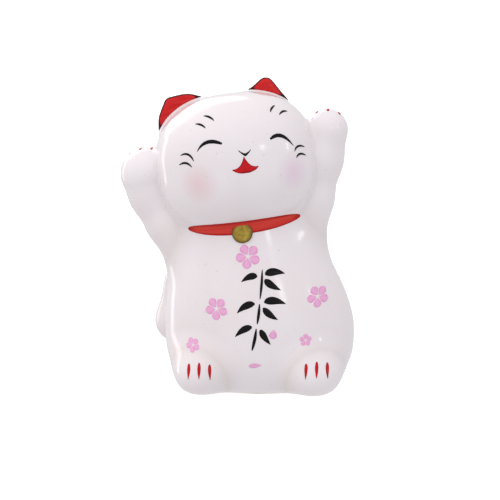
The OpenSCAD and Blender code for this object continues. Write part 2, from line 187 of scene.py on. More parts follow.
def head(q):
    """Distance to the squarish head, held a little short as its slope is only estimated."""
    ratio = np.abs(q) / HEAD_R
    size = (ratio ** HEAD_SQUARE).sum(1) ** (1 / HEAD_SQUARE)
    slope = np.linalg.norm(ratio / HEAD_R, axis=1) / np.maximum(np.linalg.norm(ratio, axis=1), 1e-9)
    return 0.9 * (size - 1) / np.maximum(slope, 1e-9)


def ear(q, side):
    root, tip = EAR_LEFT if side > 0 else EAR_RIGHT
    flat = np.stack([q[:, 0] * side, (q[:, 1] - EAR_Y) / EAR_FLAT, q[:, 2]], 1)
    cone = rounded_cone(flat, (root[0], 0, *root[1:]), (tip[0], 0, *tip[1:])) * EAR_FLAT
    return smooth_max(cone, EAR_Y - EAR_FRONT - q[:, 1], EAR_ROUND)


def sections(p):
    """Distance to each section on its own, by its CAD node's name."""
    q = in_head(p)
    mirrored = p * (-1, 1, 1)
    return {
        "torso_shell": body(p),
        "foot_left": oval(p, FOOT_AT, FOOT_R),
        "foot_right": oval(mirrored, FOOT_AT, FOOT_R),
        "arm_left": limb(p, ARM_LEFT),
        "arm_right": limb(p, ARM_RIGHT),
        "tail": limb(p, TAIL),
        "head_shell": head(q),
        "ear_left": ear(q, 1),
        "ear_right": ear(q, -1),
    }


def skin_of(d, p):
    """The whole figure's outer skin: the sections run softly together."""
    low = smooth_min(d["torso_shell"], d["foot_left"], FOOT_BLEND)
    low = smooth_min(low, d["foot_right"], FOOT_BLEND)
    low = smooth_max(low, -p[:, 2], BASE_ROUND)
    low = smooth_min(low, np.minimum(d["arm_left"], d["arm_right"]), ARM_BLEND)
    low = smooth_min(low, d["tail"], TAIL_BLEND)
    top = smooth_min(d["head_shell"], d["ear_left"], EAR_BLEND)
    top = smooth_min(top, d["ear_right"], EAR_BLEND)
    return smooth_min(low, top, HEAD_BLEND)


def skin(p):
    return skin_of(sections(p), p)


def hollowed(outer, d, p):
    """The cast wall: the hollow, the coin slot, the recess and the stopper's hole cut away."""
    q = in_head(p)
    hollow = smooth_min(d["torso_shell"], d["head_shell"], HOLLOW_BLEND) + WALL
    hollow = smooth_max(hollow, FLOOR_T - p[:, 2], HOLLOW_ROUND)
    along = np.clip(np.abs(q[:, 0]) - (SLOT_W - SLOT_H) / 2, 0, None)
    slot = np.maximum(np.hypot(along, q[:, 2] - SLOT_Z) - SLOT_H / 2, SLOT_FROM_Y - q[:, 1])
    across = np.hypot(p[:, 0], p[:, 1])
    hole = np.maximum(across - HOLE_R, p[:, 2] - HOLE_TOP)
    recess = np.maximum(across - RECESS_R, p[:, 2] - RECESS_H)
    solid = np.maximum(outer, -hollow)
    for cut in (slot, hole, recess):
        solid = smooth_max(solid, -cut, CUT_ROUND)
    return solid


def territory(node, d, outer, p):
    """Negative where a point belongs to that node, in about millimetres."""
    # The glaze's edge over the foot ring wanders a little, as it is wiped by hand
    wander = 0.12 * np.sin(7 * np.arctan2(p[:, 1], p[:, 0])) + 0.08 * np.sin(0.9 * p[:, 0] + 2)
    above_ring = p[:, 2] - (BARE_H + wander + BARE_CLIMB * np.clip(-outer, 0, FLOOR_T))
    if node == "base_plate":
        return above_ring
    others = np.min([value for name, value in d.items() if name != node], axis=0)
    return np.maximum(0.5 * (d[node] - others), -above_ring)


def section_field(node):
    def field(p):
        d = sections(p)
        outer = skin_of(d, p)
        own = territory(node, d, outer, p)
        return np.maximum(hollowed(outer, d, p) + DIP * np.clip(own, 0, None), own - LAP)
    return field


def clay(p):
    d = sections(p)
    return hollowed(skin_of(d, p), d, p)


# ---- Meshing ----

def gradient(field, p, reach=0.04):
    slopes = [field(p + reach * axis) - field(p - reach * axis) for axis in np.eye(3)]
    return np.stack(slopes, 1) / (2 * reach)


def directions(field, p):
    slope = gradient(field, p)
    return slope / np.maximum(np.linalg.norm(slope, axis=1, keepdims=True), 1e-9)


def solid_mesh(field, low, high, step):
    """Vertices and quads of the field's zero surface: a grid that is only filled in near it."""
    block = 4
    count = np.ceil((high - low) / (step * block)).astype(int)
    centres = [low[i] + step * (block * np.arange(count[i]) + (block - 1) / 2) for i in range(3)]
    rough = field(np.stack(np.meshgrid(*centres, indexing="ij"), -1).reshape(-1, 3)).reshape(count)
    values = rough.astype(np.float32)
    for axis in range(3):
        values = np.repeat(values, block, axis)
    near = np.argwhere(np.abs(rough) < 1.5 * block * step)
    offsets = np.stack(np.meshgrid(*[np.arange(block)] * 3, indexing="ij"), -1).reshape(-1, 3)
    cells = (near[:, None] * block + offsets).reshape(-1, 3)
    values[tuple(cells.T)] = field(low + step * cells)
    grid = openvdb.FloatGrid()
    grid.copyFromArray(values)
    points, quads = grid.convertToQuads(isovalue=0.0)
    points = low + step * np.asarray(points, float)
    for _ in range(REFINE_STEPS):
        slope = gradient(field, points)
        size = np.maximum((slope ** 2).sum(1), 0.2)
        points -= slope * (np.clip(field(points), -step, step) / size)[:, None]
    return points, np.asarray(quads)


def outward(points, faces, normals):
    """The faces, wound so that they look along the normals."""
    a, b, c = (points[faces[:, i]] for i in range(3))
    facing = (np.cross(b - a, c - a) * normals[faces[:, 0]]).sum()
    return faces if facing > 0 else faces[:, ::-1]


def new_piece(name, points, faces, material, body_name, slot, *nodes):
    """A mesh in the row frame that rides on a CAD body and stands for the named nodes."""
    mesh = bpy.data.meshes.new(name)
    mesh.from_pydata(to_row(points).tolist(), [], [list(face) for face in faces])
    mesh.polygons.foreach_set("use_smooth", [True] * len(mesh.polygons))
    mesh.materials.append(material)
    piece = bpy.data.objects.new(name, mesh)
    bpy.context.scene.collection.objects.link(piece)
    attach(piece, body_name)
    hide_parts(*nodes)
    return piece


def store(piece, name, values):
    attribute = piece.data.attributes.new(name, "FLOAT", "POINT")
    attribute.data.foreach_set("value", np.asarray(values, np.float32))


def store_strokes(piece, places):
    """The UV map "Stroke" from one place per vertex: along the stroke, then across it."""
    layer = piece.data.uv_layers.new(name="Stroke")
    corner = np.zeros(len(piece.data.loops), np.int32)
    piece.data.loops.foreach_get("vertex_index", corner)
    layer.data.foreach_set("uv", places[corner].astype(np.float32).ravel())


def turned_faces(rings, sides):
    """Faces of a turned shape whose vertices are one pole, the rings and the other pole.

    They look outwards if the rings run anticlockwise, seen from the first pole."""
    faces = [(0, 1 + i, 1 + (i + 1) % sides) for i in range(sides)]
    for k in range(rings - 1):
        near, far = 1 + k * sides, 1 + (k + 1) * sides
        faces += [(near + i, far + i, far + (i + 1) % sides, near + (i + 1) % sides)
                  for i in range(sides)]
    last = 1 + (rings - 1) * sides
    faces += [(last + (i + 1) % sides, last + i, last + sides) for i in range(sides)]
    return faces


# ---- Material helpers ----

def linear(hex_colour):
    """A colour as written in hex, in the linear values that shaders use."""
    parts = [int(hex_colour[i:i + 2], 16) / 255 for i in (1, 3, 5)]
    return [v / 12.92 if v <= 0.04045 else ((v + 0.055) / 1.055) ** 2.4 for v in parts] + [1]


class Paint:
    """A node material: a Principled shader and short ways to add nodes to it."""

    def __init__(self, name, **sockets):
        self.material = bpy.data.materials.new(name)
        self.material.use_nodes = True
        self.tree = self.material.node_tree
        self.shader = self.tree.nodes["Principled BSDF"]
        for socket, value in sockets.items():
            self.shader.inputs[socket.replace("_", " ")].default_value = value
        self.place = self.add("ShaderNodeTexCoord").outputs["Object"]

    def add(self, kind, **settings):
        node = self.tree.nodes.new(kind)
        for name, value in settings.items():
            setattr(node, name, value)
        return node

    def feed(self, socket, source):
        if isinstance(source, bpy.types.NodeSocket):
            self.tree.links.new(source, socket)
        else:
            socket.default_value = source

    def noise(self, size_mm, detail=2, rough=0.5, vector=None, stretch=None):
        """Noise of about that grain in the row frame, or over the given vector."""
        vector = vector or self.place
        if stretch:
            scaled = self.add("ShaderNodeMapping")
            self.feed(scaled.inputs["Vector"], vector)
            scaled.inputs["Scale"].default_value = stretch
            vector = scaled.outputs[0]
        node = self.add("ShaderNodeTexNoise")
        self.feed(node.inputs["Vector"], vector)
        node.inputs["Scale"].default_value = MM / size_mm
        node.inputs["Detail"].default_value = detail
        node.inputs["Roughness"].default_value = rough
        return node.outputs["Fac"]

    def ramp(self, source, stops):
        node = self.add("ShaderNodeValToRGB")
        self.feed(node.inputs["Fac"], source)
        elements = node.color_ramp.elements
        while len(elements) < len(stops):
            elements.new(0.5)
        for element, (place, colour) in zip(elements, stops):
            element.position = place
            element.color = linear(colour) if isinstance(colour, str) else (colour,) * 3 + (1,)
        return node.outputs["Color"]

    def mix(self, share, a, b, blend_type="MIX"):
        node = self.add("ShaderNodeMix", data_type="RGBA", blend_type=blend_type)
        self.feed(node.inputs["Factor"], share)
        self.feed(node.inputs[6], linear(a) if isinstance(a, str) else a)
        self.feed(node.inputs[7], linear(b) if isinstance(b, str) else b)
        return node.outputs[2]

    def maths(self, operation, a, b=0.0, c=0.0):
        node = self.add("ShaderNodeMath", operation=operation)
        for socket, source in zip(node.inputs, (a, b, c)):
            self.feed(socket, source)
        return node.outputs[0]

    def attribute(self, name):
        return self.add("ShaderNodeAttribute", attribute_name=name).outputs["Fac"]

    def bump(self, *layers):
        """Layers of (height, depth in mm), one over the other, on the shader's normal."""
        under = None
        for height, depth in layers:
            node = self.add("ShaderNodeBump")
            self.feed(node.inputs["Height"], height)
            node.inputs["Strength"].default_value = 1
            node.inputs["Distance"].default_value = depth / MM
            if under:
                self.feed(node.inputs["Normal"], under)
            under = node.outputs[0]
        self.feed(self.shader.inputs["Normal"], under)

    def colour(self, source):
        self.feed(self.shader.inputs["Base Color"], source)

    def roughness(self, source, low, high):
        node = self.add("ShaderNodeMapRange")
        self.feed(node.inputs["Value"], source)
        node.inputs["To Min"].default_value = low
        node.inputs["To Max"].default_value = high
        self.feed(self.shader.inputs["Roughness"], node.outputs[0])


# ---- Materials ----

def glaze_colour(paint):
    """Milky white with faint clouds and iron specks, and painted shade: a warm grey-brown tint that
    darkens the joints between sections.
    """
    clouds = paint.ramp(paint.noise(22), [(0.35, "#efe6e8"), (0.65, "#f2ebee")])
    # Painted shade: the glaze turns grey-brown as deeply as the blend fills a joint, where shade
    # falls
    crease_shaded = paint.mix(paint.maths("MULTIPLY", paint.attribute("crease_shade"), 0.25), clouds, "#cdb9ad")
    specks = paint.ramp(paint.noise(0.9, 0), [(0.80, 0.0), (0.84, 1.0)])
    return paint.mix(paint.maths("MULTIPLY", specks, 0.15), crease_shaded, "#9c8678")


def glaze_finish(paint):
    paint.roughness(paint.noise(9), 0.10, 0.20)
    paint.bump((paint.noise(13, 1), 0.10), (paint.noise(1.6, 1), 0.004))


def glaze_paint(name):
    return Paint(name, IOR=1.52, Coat_Weight=0.25, Coat_Roughness=0.03, Coat_IOR=1.5,
                 Subsurface_Weight=0.12, Subsurface_Radius=(1.0, 0.8, 0.7), Subsurface_Scale=0.002)


def white_glaze():
    paint = glaze_paint("white_glaze")
    paint.colour(glaze_colour(paint))
    glaze_finish(paint)
    return paint.material


def blushed_glaze():
    """The head's glaze, with a soft airbrushed blush on each cheek."""
    paint = glaze_paint("blushed_glaze")
    colour = glaze_colour(paint)
    for cheek, blush, strength in CHEEKS:
        apart = paint.add("ShaderNodeVectorMath", operation="DISTANCE")
        paint.feed(apart.inputs[0], paint.place)
        apart.inputs[1].default_value = to_row(settle_on_head([cheek]))[0]
        soft = paint.ramp(paint.maths("MULTIPLY", apart.outputs["Value"], MM / CHEEK_REACH),
                          [(0.0, strength), (0.4, 0.66 * strength), (1.0, 0.0)])
        colour = paint.mix(soft, colour, blush)
    paint.colour(colour)
    glaze_finish(paint)
    return paint.material


def bare_clay():
    paint = Paint("bare_clay", Roughness=0.85)
    grain = paint.noise(0.5, 4, 0.65)
    patches = paint.ramp(paint.noise(6, 3), [(0.35, 0.0), (0.7, 1.0)])
    paint.colour(paint.mix(patches, "#d8cbbb", "#c2b09c"))
    paint.roughness(grain, 0.7, 0.95)
    paint.bump((grain, 0.05), (paint.noise(2.5, 2), 0.04))
    return paint.material


def soft_rubber():
    paint = Paint("soft_rubber", Roughness=0.5, Sheen_Weight=0.15, Sheen_Roughness=0.5)
    haze = paint.noise(4, 3, 0.6)
    paint.colour(paint.mix(haze, "#e9e5da", "#d9d3c4"))
    paint.roughness(haze, 0.42, 0.62)
    paint.bump((paint.noise(0.35, 2), 0.012))
    return paint.material


def enamel(name, middle, rim, streak, rough=(0.12, 0.3)):
    """On-glaze enamel: brush streaks along the stroke and a darker colour at its rim, where enamel
    gathers on the strokes; on the ear lining that rim colour is painted shade as well.

    Its colours are the one in the middle, the one at the rim and the one in the streaks."""
    paint = Paint(name, IOR=1.5, Specular_IOR_Level=0.12, Coat_Weight=0.06, Coat_Roughness=0.05)
    stroke = paint.add("ShaderNodeUVMap", uv_map="Stroke").outputs["UV"]
    hairs = paint.noise(MM / 2, 3, 0.6, stroke, (0.8, 5, 1))
    cloudy = paint.noise(1.1, 3, 0.6)
    colour = paint.mix(paint.ramp(hairs, [(0.35, 0.0), (0.7, 1.0)]), middle, streak)
    colour = paint.mix(paint.maths("MULTIPLY", cloudy, 0.35), colour, streak)
    uneven_rim = paint.maths("ADD", paint.attribute("rim"), paint.maths("MULTIPLY", cloudy, 0.2))
    edge = paint.ramp(uneven_rim, [(0.62, 0.0), (0.98, 1.0)])
    paint.colour(paint.mix(edge, colour, rim))
    paint.roughness(hairs, *rough)
    paint.bump((hairs, 0.03), (cloudy, 0.015))
    return paint.material


def old_gold():
    """Gold lustre over glaze, mottled and browned towards its edge."""
    paint = Paint("old_gold", Metallic=0.55, Coat_Weight=0.25, Coat_Roughness=0.12)
    mottle = paint.noise(1.3, 4, 0.65)
    colour = paint.ramp(mottle, [(0.3, "#8a6f1c"), (0.5, "#ab9130"), (0.72, "#c3a94a")])
    edge = paint.ramp(paint.attribute("rim"), [(0.66, 0.0), (1.0, 1.0)])
    paint.colour(paint.mix(edge, colour, "#5a4210"))
    paint.roughness(mottle, 0.28, 0.5)
    paint.bump((mottle, 0.03))
    return paint.material


def pale_floor():
    """White sweep that glows a little, so that it stays white away from the lamps."""
    paint = Paint("pale_floor", Roughness=0.6, Emission_Color=(1, 1, 1, 1), Emission_Strength=0.68)
    paint.colour(paint.mix(paint.noise(60, 3), "#f7f6f6", "#f4f3f3"))
    return paint.material


# ---- Ceramic sections ----

def ceramic_section(node, name, material, slot, box_nodes, margin=5):
    """One cast section, meshed inside the CAD boxes of box_nodes with a margin round them."""
    corners = [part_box(box_node) for box_node in box_nodes]
    low = np.min([to_figure(c[0]) for c in corners], axis=0) - margin
    high = np.max([to_figure(c[1]) for c in corners], axis=0) + margin
    field = section_field(node)
    points, quads = solid_mesh(field, low, high, STEP)
    # On the shared skin every section takes the whole figure's normals, so no joint shows
    on_skin = (clay(points) > -DIP * LAP - 0.02)[:, None]
    normals = np.where(on_skin, directions(clay, points), directions(field, points))
    piece = new_piece(name, points, outward(points, quads, normals), material, "figure", slot, node)
    piece.data.normals_split_custom_set_from_vertices(normals.tolist())
    d = sections(points)
    filled = np.min(list(d.values()), axis=0) - skin_of(d, points)
    # The share of blend in each joint, which sets the glaze's painted shade there
    store(piece, "crease_shade", np.clip(filled / (ARM_BLEND / 4), 0, 1))
    return piece


# ---- Enamel laid on the skin ----

def settle(points, along):
    """Points brought down onto the skin in the given direction."""
    points = np.array(points, float)
    for _ in range(SETTLE_STEPS):
        points += np.clip(skin(points), -1, 4)[:, None] * 0.85 * along
    return points


def settle_on_head(places):
    """Places in the head's own (x, z), brought to its front from ahead."""
    places = np.asarray(places, float)
    ahead = np.stack([places[:, 0], np.full(len(places), -34.0), places[:, 1]], 1)
    return settle(HEAD_AT + ahead @ HEAD_TURN.T, -HEAD_FORWARD)


def settle_on_body(places):
    """Places in the figure's (x, z), brought to the body's front from ahead."""
    places = np.asarray(places, float)
    ahead = np.stack([places[:, 0], np.full(len(places), -38.0), places[:, 1]], 1)
    return settle(ahead, np.array([0, 1, 0]))


def settle_on_paw(path):
    """For strokes over a raised paw's top: (x, y) from its ball's middle, brought down."""
    middle = np.array(path[-1][:3])

    def down(places):
        places = np.asarray(places, float)
        above = np.stack([places[:, 0], places[:, 1], np.full(len(places), 10.0)], 1)
        return settle(middle + above, np.array([0, 0, -1]))
    return down


def stroke(a, b, c, width, steps=22):
    """Pairs of edge places along the curve from a to c drawn towards b; width(t) is across."""
    t = np.linspace(0, 1, steps)[:, None]
    a, b, c = (np.array(v, float) for v in (a, b, c))
    middle = (1 - t) ** 2 * a + 2 * t * (1 - t) * b + t * t * c
    run = (1 - t) * (b - a) + t * (c - b)
    run /= np.linalg.norm(run, axis=1, keepdims=True)
    half = width(t) / 2 * np.stack([-run[:, 1], run[:, 0]], 1)
    return np.stack([middle + half, middle - half], 1)


def enamel_mesh(pairs, down, proud, across=7, sink=0.1):
    """A low dome of enamel between the pairs' edges: its faces, places, UVs and rim shares."""
    rows = len(pairs)
    share = np.linspace(0, 1, across)[None, :, None]
    flat = pairs[:, None, 0] * (1 - share) + pairs[:, None, 1] * share
    seat = down(flat.reshape(-1, 2))
    up = directions(skin, seat)
    s = np.abs(np.linspace(-1, 1, across))[None, :].repeat(rows, 0)
    t = np.abs(np.linspace(-1, 1, rows))[:, None].repeat(across, 1)
    rise = (1 - s ** 4) * (1 - t ** 8)
    height = (rise * (proud + 0.03) - 0.03).reshape(-1, 1)
    points = np.concatenate([seat + up * height, seat - up * sink])
    number = np.arange(rows * across).reshape(rows, across)
    corners = [number[:-1, :-1], number[1:, :-1], number[1:, 1:], number[:-1, 1:]]
    quads = np.stack(corners, -1).reshape(-1, 4)
    border = np.concatenate([number[0, :], number[1:, -1], number[-1, -2::-1], number[-2:0:-1, 0]])
    after = np.roll(border, -1)
    under = rows * across
    walls = np.stack([border, border + under, after + under, after], -1)
    faces = np.concatenate([quads, quads[:, ::-1] + under, walls[:, ::-1]])
    along = np.linspace(0, 1, rows)[:, None].repeat(across, 1)
    sideways = np.linspace(0, 1, across)[None, :].repeat(rows, 0)
    uv = np.stack([along.ravel(), sideways.ravel()], 1)
    rim = np.maximum(s, t ** 3).ravel()
    return points, faces, np.tile(uv, (2, 1)), np.tile(rim, 2), np.tile(up, (2, 1))


def enamel_piece(name, node, material, slot, marks, down, proud=0.13, across=7):
    """One piece made of separate marks, each given by its pairs."""
    points, faces, uvs, rims = [], [], [], []
    for pairs in marks:
        p, f, uv, rim, up = enamel_mesh(pairs, down, proud, across)
        top = f[: (len(pairs) - 1) * (across - 1)]
        a, b, c = (p[top[:, i]] for i in range(3))
        turned = (np.cross(b - a, c - a) * up[top[:, 0]]).sum() < 0
        faces.append((f[:, ::-1] if turned else f) + sum(map(len, points)))
        points.append(p)
        uvs.append(uv)
        rims.append(rim)
    points, faces = np.concatenate(points), np.concatenate(faces)
    piece = new_piece(name, points, faces, material, "figure", slot, node)
    store(piece, "rim", np.concatenate(rims))
    store_strokes(piece, np.concatenate(uvs))
    piece.data.set_sharp_from_angle(angle=math.radians(50))
    return piece


# Width profiles of the strokes: each gives the width at t, from 0 at the start to 1 at the end

def brush(width):
    return lambda t: width * (0.2 + 0.8 * np.sin(np.pi * t) ** 0.8)


def lash(width):
    return lambda t: width * np.maximum(0.15, np.sin(np.radians(160 * t ** 1.3)) ** 0.6)


def leaf(width):
    return lambda t: width * np.maximum(0.12, np.sin(np.pi * t ** 0.75) ** 0.9)


def claw(width):
    return lambda t: width * np.maximum(0.2, np.sin(np.radians(20 + 155 * t ** 0.8)))


def petal(width):
    return lambda t: width * np.maximum(0.16, np.sin(np.pi * (0.04 + 0.93 * t) ** 1.35) ** 0.75)


# ---- Face ----

BROW_W, WHISKER_W, EYE_W = 0.7, 0.75, 1.25
# Each blush: its place on the head, colour and strength
CHEEKS = [((-13.4, -3.1), "#e0849a", 0.27), ((15.6, -3.7), "#dc98cc", 0.3)]
CHEEK_REACH = 6.4

FACE_LINES = {
    "eye_left": [stroke((16.8, 3.8), (13.4, 9.9), (9.6, 7.2), lash(EYE_W))],
    "eye_right": [stroke((-12.6, 6.6), (-9.7, 10.9), (-4.7, 8), lash(EYE_W))],
    "brows_left": [stroke((13.3, 16.6), (11.7, 16.2), (11.3, 14.9), brush(BROW_W)),
                   stroke((16.8, 14.2), (15.1, 15), (13.8, 13.7), brush(BROW_W))],
    "brows_right": [stroke((-8.9, 16.7), (-7, 16.6), (-6, 14.9), brush(BROW_W)),
                    stroke((-11.8, 14.7), (-9.8, 14.7), (-8.9, 13.1), brush(BROW_W))],
    "whiskers_left": [stroke((16.7, 2.3), (17.7, 4.7), (20.4, 2.9), brush(WHISKER_W)),
                      stroke((17, 0.3), (18.1, 2.2), (20.4, 0.3), brush(WHISKER_W))],
    "whiskers_right": [stroke((-17.7, 6), (-14.8, 7.4), (-13.9, 3.9), brush(WHISKER_W)),
                       stroke((-18.4, 3.2), (-16.1, 4.7), (-14.7, 2.2), brush(WHISKER_W))],
}
NOSE_AT, NOSE_HALF_W, NOSE_H = (1.5, 3.9), 1.95, 1.5
MOUTH_AT, MOUTH_HALF_W, MOUTH_PEAK, MOUTH_DROP = (1, 0), 4.1, 3.7, 1.7


def nose_pairs():
    """Small v with hollow arms."""
    t = np.linspace(-1, 1, 25)
    x = NOSE_AT[0] + NOSE_HALF_W * t
    z = NOSE_AT[1] + NOSE_H * np.abs(t) ** 1.4 - 0.15 * t
    half = 0.5 - 0.36 * np.abs(t)
    return np.stack([np.stack([x, z + half], 1), np.stack([x, z - half], 1)], 1)


def mouth_pairs():
    """Open smile: peaked top with hollow shoulders, round chin."""
    t = np.linspace(-1, 1, 61)
    x = MOUTH_AT[0] + MOUTH_HALF_W * t
    top = MOUTH_AT[1] + MOUTH_PEAK * (1 - np.abs(t)) ** 3 + 0.05
    low = MOUTH_AT[1] - MOUTH_DROP * (1 - t * t) ** 0.8 - 0.05
    return np.stack([np.stack([x, top], 1), np.stack([x, low], 1)], 1)


def make_face(red, black):
    for node, marks in FACE_LINES.items():
        enamel_piece(node + "_stroke", node, black, "black_enamel", marks, settle_on_head)
    enamel_piece("nose_stroke", "nose", black, "black_enamel", [nose_pairs()], settle_on_head, 0.1)
    enamel_piece("mouth_stroke", "mouth", red, "red_enamel", [mouth_pairs()], settle_on_head,
                 0.12, 11)


# ---- Ears ----

# How far the lining stands out and reaches in, how far it wraps round the edge, the gap it
# keeps from the head, and the length of its brush strokes
LINING_OUT, LINING_IN, LINING_WRAP, LINING_GAP, LINING_STROKE = 0.14, 0.25, 1.0, 0.15, 12


def make_ear_lining(side, material):
    """Red enamel over an ear's flat front, wrapped a little way round its edge, with a painted dark
    outline and painted shade where it turns away from the front.
    """
    own = "ear_left" if side > 0 else "ear_right"
    node = own.replace("ear", "ear_lining")

    def field(p):
        d = sections(p)
        outer = skin_of(d, p)
        film = np.maximum(outer - LINING_OUT, -outer - LINING_IN)
        back = in_head(p)[:, 1] - (EAR_Y - EAR_FRONT + LINING_WRAP)
        own_side = 0.5 * (d[own] - d["head_shell"]) + LINING_GAP
        return smooth_max(smooth_max(film, back, 0.2), own_side, 0.2)

    low, high = (to_figure(corner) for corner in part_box(node))
    points, quads = solid_mesh(field, low - 3, high + 3, FINE_STEP)
    normals = directions(field, points)
    piece = new_piece(node + "_enamel", points, outward(points, quads, normals), material, "figure",
                      "red_enamel", node)
    # Painted shade: the lining darkens to near black-red as its surface turns away from the head's
    # front, round the ear's edge
    turned_away = 1 - directions(skin, points) @ HEAD_FORWARD
    store(piece, "rim", np.clip(turned_away * 4, 0, 1))
    store_strokes(piece, in_head(points)[:, [0, 2]] / LINING_STROKE)


# ---- Collar and bell ----

COLLAR_AT, COLLAR_HALF_W, COLLAR_HALF_H = (-4.4, 52.5), 17.5, 2.1
COLLAR_TILT, COLLAR_SAG = 2.1, 0.8
# The share of the bell's radius inside its rolled edge
BELL_FLAT = 0.8


def collar_pairs():
    """Band that climbs to the cat's left and sags in the middle."""
    t = np.linspace(-1, 1, 61)
    x = COLLAR_AT[0] + COLLAR_HALF_W * t
    z = COLLAR_AT[1] + COLLAR_TILT * t + COLLAR_SAG * t * t
    half = COLLAR_HALF_H * np.sqrt(np.maximum(0.01, 1 - np.abs(t) ** 2.6))
    return np.stack([np.stack([x, z + half], 1), np.stack([x, z - half], 1)], 1)


def make_bell(material):
    """A low gilt button with a rolled edge, turned in rings about the skin's own normal."""
    low, high = (to_figure(corner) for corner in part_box("bell"))
    middle, radius = (low + high) / 2, (high[0] - low[0]) / 2
    seat = settle_on_body([middle[[0, 2]]])[0]
    up = directions(skin, seat[None])[0]
    side = np.cross(up, [0, 0, 1.0])
    side /= np.linalg.norm(side)
    top = np.cross(side, up)
    # The rings: nine over the low crown, then eleven round the rolled edge. Seen from the crown
    # they run clockwise, so the faces of this piece look inwards
    flat = np.linspace(0, BELL_FLAT, 10)[1:]
    angle = np.linspace(0, np.pi, 12)[1:]
    reach = np.concatenate([flat, BELL_FLAT + (1 - BELL_FLAT) * np.sin(angle)])
    crown = 0.95 - 0.25 * (flat / BELL_FLAT) ** 2
    edge = 0.35 + 0.35 * np.cos(angle)
    height = np.concatenate([crown, edge - 0.6 * (1 - np.cos(angle)) / 2])
    sides = 64
    turn = np.linspace(0, 2 * np.pi, sides, endpoint=False)
    ring = np.cos(turn)[:, None] * side + np.sin(turn)[:, None] * top
    points = [seat + up * 0.96]
    for r, h in zip(reach, height):
        points.extend(seat + ring * r * radius + up * h)
    points.append(seat - up * 0.6)
    faces = turned_faces(len(reach), sides)
    piece = new_piece("bell_gilt", np.array(points), faces, material, "figure", "gold_lustre",
                      "bell")
    store(piece, "rim", np.concatenate([[0], np.repeat(reach, sides), [1]]))


# ---- Claws, blossoms and ink ----

CLAW_W, CLAW_GAP, CLAW_SPREAD, CLAW_RUN = 1.1, 3.2, 0.2, 4.9
PAW_CLAW_GAP, PAW_CLAW_END = 3.5, 4.2
PETAL_PROUD = 0.09


def foot_claws(middle_x, top_z):
    """Three strokes down a foot's toes; the middle one starts at the given place."""
    marks = []
    for i in (-1, 0, 1):
        start = (middle_x + CLAW_GAP * i, top_z - 0.5 * abs(i))
        bend = (middle_x + CLAW_GAP * i, top_z - CLAW_RUN / 2)
        end = (middle_x + (CLAW_GAP + CLAW_SPREAD) * i, top_z - CLAW_RUN - 0.4 * abs(i))
        marks.append(stroke(start, bend, end, claw(CLAW_W)))
    return marks


def paw_claws(shift, starts):
    """Strokes over a paw's top; shift moves them sideways, starts gives the y where each begins."""
    places = [shift + PAW_CLAW_GAP * i for i in (-1, 0, 1)]
    return [stroke((x, start), (x, 1), (x, PAW_CLAW_END), claw(CLAW_W))
            for x, start in zip(places, starts)]


def blossom(x, z, size, turn):
    """Five petals round a place; turn points the first one, in degrees."""
    middle = np.array([x, z])
    petals = []
    for i in range(5):
        angle = math.radians(turn + 72 * i)
        out = np.array([math.cos(angle), math.sin(angle)])
        places = [middle + out * share * size for share in (0.07, 0.28, 0.5)]
        petals.append(stroke(*places, petal(0.4 * size)))
    return petals


# Each blossom: x, z, size and turn
BLOSSOMS = {
    "blossom_chest": (-2.8, 43.9, 7.6, 263),
    "blossom_right": (-12.3, 28, 7, 268),
    "blossom_left": (18.5, 31.2, 6.6, 266),
    "blossom_small_right": (-19.7, 16.4, 4.4, 266),
    "blossom_small_left": (14.9, 18.5, 3.8, 90),
}
# Each leaf and twig: its start, bend and end, and its width
SPRIG_LEAVES = [
    ((2.4, 38.4), (4.6, 40), (8.6, 38.6), 2.6), ((2.4, 37.2), (3.6, 35.4), (7.4, 33.8), 2.4),
    ((0.2, 37.8), (-1.8, 38.8), (-4.8, 36.2), 2.3), ((2.2, 30.2), (4.8, 31.6), (9, 29.6), 2.6),
    ((-0.4, 29.8), (-3.4, 30), (-6, 26.8), 2.4), ((2, 28.8), (3.4, 26.6), (6.6, 25), 2.3),
    ((-1.2, 22.8), (-3.8, 22.8), (-6.6, 19.6), 2.3), ((1.2, 22.2), (2, 20), (4.4, 17.4), 2.2)]
SPRIG_TWIGS = [
    ((1.6, 40.2), (1.6, 35.4), (1, 31), 0.9), ((0.9, 30), (0.8, 26.6), (0.2, 23.6), 1),
    ((0, 22.6), (-0.4, 18.6), (-1.4, 15.4), 1.1)]


def make_decoration(red, scarlet, black, pink):
    enamel_piece("collar_band", "collar", scarlet, "red_enamel", [collar_pairs()], settle_on_body,
                 0.3, 13)
    claws = {
        "foot_claws_left": (foot_claws(18.4, 12.4), settle_on_body),
        "foot_claws_right": (foot_claws(-17.4, 11.8), settle_on_body),
        "paw_claws_left": (paw_claws(0.2, (-1.8, -2.6, -2)), settle_on_paw(ARM_LEFT)),
        "paw_claws_right": (paw_claws(-1.8, (-0.8, -2.6, -2.6)), settle_on_paw(ARM_RIGHT)),
    }
    for node, (marks, down) in claws.items():
        enamel_piece(node + "_strokes", node, red, "red_enamel", marks, down)
    for node, place in BLOSSOMS.items():
        enamel_piece(node + "_petals", node, pink, "pink_enamel", blossom(*place), settle_on_body,
                     PETAL_PROUD)
    loose = [stroke((5.2, 22), (5.1, 20.5), (4.9, 19.2), petal(2.6)),
             stroke((-2.4, 10.6), (-0.4, 10.9), (1.6, 11), leaf(1.6))]
    enamel_piece("loose_petals_enamel", "loose_petals", pink, "pink_enamel", loose, settle_on_body,
                 PETAL_PROUD)
    sprig = [stroke(a, b, c, leaf(width)) for a, b, c, width in SPRIG_LEAVES]
    sprig += [stroke(a, b, c, brush(width)) for a, b, c, width in SPRIG_TWIGS]
    enamel_piece("ink_sprig_strokes", "ink_sprig", black, "black_enamel", sprig, settle_on_body,
                 0.1)


# ---- Stopper ----

